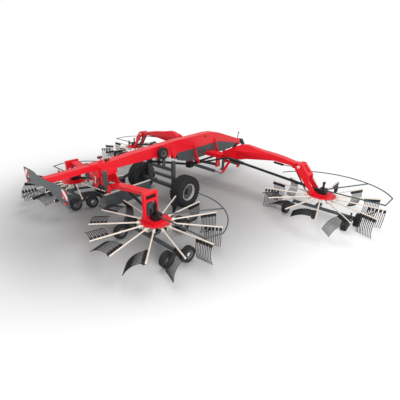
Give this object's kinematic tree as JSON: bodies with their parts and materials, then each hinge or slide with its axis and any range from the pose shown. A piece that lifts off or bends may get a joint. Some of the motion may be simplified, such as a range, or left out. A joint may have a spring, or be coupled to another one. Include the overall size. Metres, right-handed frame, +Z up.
{
  "type": "rotary hay rake",
  "caption": "Towed centre-delivery rotary rake spread for work, with tined rotors on lifting arms, a box-section main beam, transport wheels and a tail light panel.",
  "frame": {"origin": "on the ground under the middle of the outline", "axes": "+X to the machine's right, +Y forward to the hitch, +Z up"},
  "size_m": [12.649, 9.093, 2.003],
  "materials": {
    "red_paint": "glossy red paint",
    "grey_paint": "satin dark grey paint",
    "black_paint": "satin black paint",
    "pale_tube": "pale grey coated tube",
    "tine_steel": "dark coated spring steel",
    "tyre": "matt black rubber on grey steel rims",
    "curtain": "dark grey coated cloth",
    "rod_chrome": "polished piston rod",
    "marker_board": "reflective striped marker boards with red lamps"
  },
  "bodies": {
    "frame": {"main_beam": "red_paint", "side_covers": "grey_paint", "rear_bracket": "red_paint", "rear_lift_cylinders": "grey_paint", "chassis_frame": "grey_paint", "tail_panel": "grey_paint", "marker_plates": "marker_board", "swath_curtain": "curtain", "spare_wheel": "tyre", "driveline": "black_paint", "parking_jack": "grey_paint"},
    "headstock": {"headstock": "grey_paint"},
    "front_arm_right": {"front_arm_right": "red_paint", "front_fork_right": "red_paint", "rotor_gearbox_front_right": "black_paint", "rotor_frame_front_right": "grey_paint"},
    "front_arm_left": {"front_arm_left": "red_paint", "front_fork_left": "red_paint", "rotor_gearbox_front_left": "black_paint", "rotor_frame_front_left": "grey_paint"},
    "rear_arm_right": {"rear_arm_right": "red_paint", "rotor_gearbox_rear_right": "black_paint", "rotor_frame_rear_right": "grey_paint"},
    "rear_arm_left": {"rear_arm_left": "red_paint", "rotor_gearbox_rear_left": "black_paint", "rotor_frame_rear_left": "grey_paint"},
    "front_ram_barrel_right": {"front_ram_barrel_right": "black_paint"},
    "front_ram_rod_right": {"front_ram_rod_right": "rod_chrome"},
    "front_ram_barrel_left": {"front_ram_barrel_left": "black_paint"},
    "front_ram_rod_left": {"front_ram_rod_left": "rod_chrome"},
    "rotor_rear_right": {"rotor_arms_rear_right": "pale_tube", "rotor_tines_rear_right": "tine_steel", "rotor_dish_rear_right": "red_paint"},
    "rotor_front_right": {"rotor_arms_front_right": "pale_tube", "rotor_tines_front_right": "tine_steel", "rotor_dish_front_right": "red_paint"},
    "rotor_rear_left": {"rotor_arms_rear_left": "pale_tube", "rotor_tines_rear_left": "tine_steel", "rotor_dish_rear_left": "red_paint"},
    "rotor_front_left": {"rotor_arms_front_left": "pale_tube", "rotor_tines_front_left": "tine_steel", "rotor_dish_front_left": "red_paint"},
    "transport_wheel_right": {"transport_wheel_right": "tyre"},
    "transport_wheel_left": {"transport_wheel_left": "tyre"},
    "small_wheel_rear_right_outer_rear": {"small_wheel_rear_right_outer_rear": "tyre"},
    "small_wheel_rear_right_outer_fore": {"small_wheel_rear_right_outer_fore": "tyre"},
    "small_wheel_rear_right_inner_rear": {"small_wheel_rear_right_inner_rear": "tyre"},
    "small_wheel_rear_right_inner_fore": {"small_wheel_rear_right_inner_fore": "tyre"},
    "small_wheel_rear_right_nose": {"small_wheel_rear_right_nose": "tyre"},
    "small_wheel_front_right_outer_rear": {"small_wheel_front_right_outer_rear": "tyre"},
    "small_wheel_front_right_outer_fore": {"small_wheel_front_right_outer_fore": "tyre"},
    "small_wheel_front_right_inner": {"small_wheel_front_right_inner": "tyre"},
    "small_wheel_rear_left_outer_rear": {"small_wheel_rear_left_outer_rear": "tyre"},
    "small_wheel_rear_left_outer_fore": {"small_wheel_rear_left_outer_fore": "tyre"},
    "small_wheel_rear_left_inner_rear": {"small_wheel_rear_left_inner_rear": "tyre"},
    "small_wheel_rear_left_inner_fore": {"small_wheel_rear_left_inner_fore": "tyre"},
    "small_wheel_rear_left_nose": {"small_wheel_rear_left_nose": "tyre"},
    "small_wheel_front_left_outer_rear": {"small_wheel_front_left_outer_rear": "tyre"},
    "small_wheel_front_left_outer_fore": {"small_wheel_front_left_outer_fore": "tyre"},
    "small_wheel_front_left_inner": {"small_wheel_front_left_inner": "tyre"}
  },
  "joints": [
    {"name": "front_arm_right_lift", "type": "hinge", "parent": "frame", "child": "front_arm_right", "pos_m": [1.33, 1.844, 1.29], "axis": [0, -1, 0], "range_deg": [-4, 80]},
    {"name": "front_arm_left_lift", "type": "hinge", "parent": "frame", "child": "front_arm_left", "pos_m": [-1.33, 1.844, 1.29], "axis": [0, 1, 0], "range_deg": [-4, 80]},
    {"name": "rear_arm_right_lift", "type": "hinge", "parent": "frame", "child": "rear_arm_right", "pos_m": [0.33, -2.775, 1.113], "axis": [0, -1, 0], "range_deg": [-4, 80]},
    {"name": "rear_arm_left_lift", "type": "hinge", "parent": "frame", "child": "rear_arm_left", "pos_m": [-0.33, -2.775, 1.113], "axis": [0, 1, 0], "range_deg": [-4, 80]},
    {"name": "headstock_turn", "type": "hinge", "parent": "frame", "child": "headstock", "pos_m": [0, 4.405, 1.243], "axis": [0, 0, 1], "range_deg": [-60, 60]},
    {"name": "front_ram_right_swing", "type": "hinge", "parent": "frame", "child": "front_ram_barrel_right", "pos_m": [-0.5, 1.53, 0.694], "axis": [0, -1, 0], "range_deg": [-1.4, 9.2]},
    {"name": "front_ram_right_stroke", "type": "slide", "parent": "front_ram_barrel_right", "child": "front_ram_rod_right", "axis": [0.9993, 0, -0.0381], "range_m": [-0.047, 0.859]},
    {"name": "front_ram_left_swing", "type": "hinge", "parent": "frame", "child": "front_ram_barrel_left", "pos_m": [0.5, 2.158, 0.694], "axis": [0, 1, 0], "range_deg": [-1.4, 9.2]},
    {"name": "front_ram_left_stroke", "type": "slide", "parent": "front_ram_barrel_left", "child": "front_ram_rod_left", "axis": [-0.9993, 0, -0.0381], "range_m": [-0.047, 0.859]},
    {"name": "rotor_rear_right_spin", "type": "hinge", "parent": "rear_arm_right", "child": "rotor_rear_right", "pos_m": [2.139, -2.775, 0.643], "axis": [0, 0, 1], "continuous": true},
    {"name": "rotor_front_right_spin", "type": "hinge", "parent": "front_arm_right", "child": "rotor_front_right", "pos_m": [4.637, 1.844, 0.643], "axis": [0, 0, 1], "continuous": true},
    {"name": "rotor_rear_left_spin", "type": "hinge", "parent": "rear_arm_left", "child": "rotor_rear_left", "pos_m": [-2.139, -2.775, 0.643], "axis": [0, 0, 1], "continuous": true},
    {"name": "rotor_front_left_spin", "type": "hinge", "parent": "front_arm_left", "child": "rotor_front_left", "pos_m": [-4.637, 1.844, 0.643], "axis": [0, 0, 1], "continuous": true},
    {"name": "transport_wheel_right_roll", "type": "hinge", "parent": "frame", "child": "transport_wheel_right", "pos_m": [1.129, -0.572, 0.537], "axis": [1, 0, 0], "continuous": true},
    {"name": "transport_wheel_left_roll", "type": "hinge", "parent": "frame", "child": "transport_wheel_left", "pos_m": [-1.129, -0.572, 0.537], "axis": [1, 0, 0], "continuous": true},
    {"name": "small_wheel_rear_right_outer_rear_roll", "type": "hinge", "parent": "rear_arm_right", "child": "small_wheel_rear_right_outer_rear", "pos_m": [3.035, -3.275, 0.205], "axis": [1, 0, 0], "continuous": true},
    {"name": "small_wheel_rear_right_outer_fore_roll", "type": "hinge", "parent": "rear_arm_right", "child": "small_wheel_rear_right_outer_fore", "pos_m": [3.238, -2.785, 0.205], "axis": [1, 0, 0], "continuous": true},
    {"name": "small_wheel_rear_right_inner_rear_roll", "type": "hinge", "parent": "rear_arm_right", "child": "small_wheel_rear_right_inner_rear", "pos_m": [1.243, -3.275, 0.205], "axis": [1, 0, 0], "continuous": true},
    {"name": "small_wheel_rear_right_inner_fore_roll", "type": "hinge", "parent": "rear_arm_right", "child": "small_wheel_rear_right_inner_fore", "pos_m": [1.04, -2.785, 0.205], "axis": [1, 0, 0], "continuous": true},
    {"name": "small_wheel_rear_right_nose_roll", "type": "hinge", "parent": "rear_arm_right", "child": "small_wheel_rear_right_nose", "pos_m": [2.139, -1.845, 0.205], "axis": [1, 0, 0], "continuous": true},
    {"name": "small_wheel_front_right_outer_rear_roll", "type": "hinge", "parent": "front_arm_right", "child": "small_wheel_front_right_outer_rear", "pos_m": [5.533, 1.344, 0.205], "axis": [1, 0, 0], "continuous": true},
    {"name": "small_wheel_front_right_outer_fore_roll", "type": "hinge", "parent": "front_arm_right", "child": "small_wheel_front_right_outer_fore", "pos_m": [5.736, 1.834, 0.205], "axis": [1, 0, 0], "continuous": true},
    {"name": "small_wheel_front_right_inner_roll", "type": "hinge", "parent": "front_arm_right", "child": "small_wheel_front_right_inner", "pos_m": [3.837, 1.284, 0.205], "axis": [1, 0, 0], "continuous": true},
    {"name": "small_wheel_rear_left_outer_rear_roll", "type": "hinge", "parent": "rear_arm_left", "child": "small_wheel_rear_left_outer_rear", "pos_m": [-3.035, -3.275, 0.205], "axis": [1, 0, 0], "continuous": true},
    {"name": "small_wheel_rear_left_outer_fore_roll", "type": "hinge", "parent": "rear_arm_left", "child": "small_wheel_rear_left_outer_fore", "pos_m": [-3.238, -2.785, 0.205], "axis": [1, 0, 0], "continuous": true},
    {"name": "small_wheel_rear_left_inner_rear_roll", "type": "hinge", "parent": "rear_arm_left", "child": "small_wheel_rear_left_inner_rear", "pos_m": [-1.243, -3.275, 0.205], "axis": [1, 0, 0], "continuous": true},
    {"name": "small_wheel_rear_left_inner_fore_roll", "type": "hinge", "parent": "rear_arm_left", "child": "small_wheel_rear_left_inner_fore", "pos_m": [-1.04, -2.785, 0.205], "axis": [1, 0, 0], "continuous": true},
    {"name": "small_wheel_rear_left_nose_roll", "type": "hinge", "parent": "rear_arm_left", "child": "small_wheel_rear_left_nose", "pos_m": [-2.139, -1.845, 0.205], "axis": [1, 0, 0], "continuous": true},
    {"name": "small_wheel_front_left_outer_rear_roll", "type": "hinge", "parent": "front_arm_left", "child": "small_wheel_front_left_outer_rear", "pos_m": [-5.533, 1.344, 0.205], "axis": [1, 0, 0], "continuous": true},
    {"name": "small_wheel_front_left_outer_fore_roll", "type": "hinge", "parent": "front_arm_left", "child": "small_wheel_front_left_outer_fore", "pos_m": [-5.736, 1.834, 0.205], "axis": [1, 0, 0], "continuous": true},
    {"name": "small_wheel_front_left_inner_roll", "type": "hinge", "parent": "front_arm_left", "child": "small_wheel_front_left_inner", "pos_m": [-3.837, 1.284, 0.205], "axis": [1, 0, 0], "continuous": true}
  ],
  "couplings": [
    {"joint": "front_ram_right_swing", "follows": "front_arm_right_lift", "ratio": 0.1021},
    {"joint": "front_ram_right_stroke", "follows": "front_arm_right_lift", "m_per_rad": 0.6082},
    {"joint": "front_ram_left_swing", "follows": "front_arm_left_lift", "ratio": 0.1021},
    {"joint": "front_ram_left_stroke", "follows": "front_arm_left_lift", "m_per_rad": 0.6082}
  ]
}
